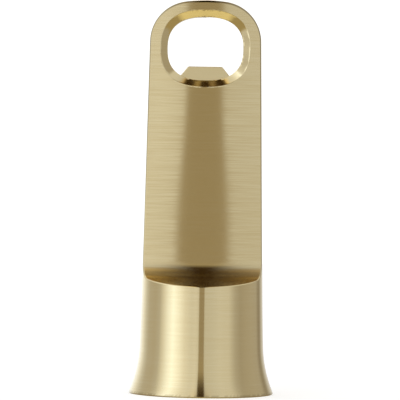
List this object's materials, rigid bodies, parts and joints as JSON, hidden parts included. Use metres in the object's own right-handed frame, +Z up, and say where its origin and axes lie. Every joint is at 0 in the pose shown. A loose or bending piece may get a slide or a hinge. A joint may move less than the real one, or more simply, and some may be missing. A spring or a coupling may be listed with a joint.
{
  "type": "souvenir bottle opener",
  "caption": "Standing bottle opener in the form of a hand bell: hollow flared bell with a hung clapper, flat blade handle and a flared cap opening with a lifting tooth.",
  "frame": {"origin": "centre of the bell rim, in the plane the rim stands on", "axes": "+Z up the handle, -Y out of the front face of the blade, +X to the right seen from the front"},
  "size_m": [0.0464, 0.0464, 0.126],
  "materials": {
    "brushed_brass": "satin, brushed across the blade and round the bell, clear lacquer",
    "plated_steel": "hardened steel plated to match the casting, satin",
    "bright_steel": "bright drawn wire and turned steel",
    "turned_brass": "turned, lightly dulled"
  },
  "bodies": {
    "opener": {"opener_body": "brushed_brass", "tooth_plate": "plated_steel", "hanger_eye": "bright_steel"},
    "link": {"hanger_link": "bright_steel"},
    "clapper": {"clapper_rod": "bright_steel", "clapper_ball": "turned_brass"}
  },
  "joints": [
    {"name": "link_swing", "type": "hinge", "parent": "opener", "child": "link", "pos_m": [0, 0, 0.0227], "axis": [0, 1, 0], "range_deg": [-45, 45]},
    {"name": "clapper_tilt", "type": "hinge", "parent": "link", "child": "clapper", "pos_m": [0, 0, 0.0193], "axis": [1, 0, 0], "range_deg": [-18, 18]}
  ]
}
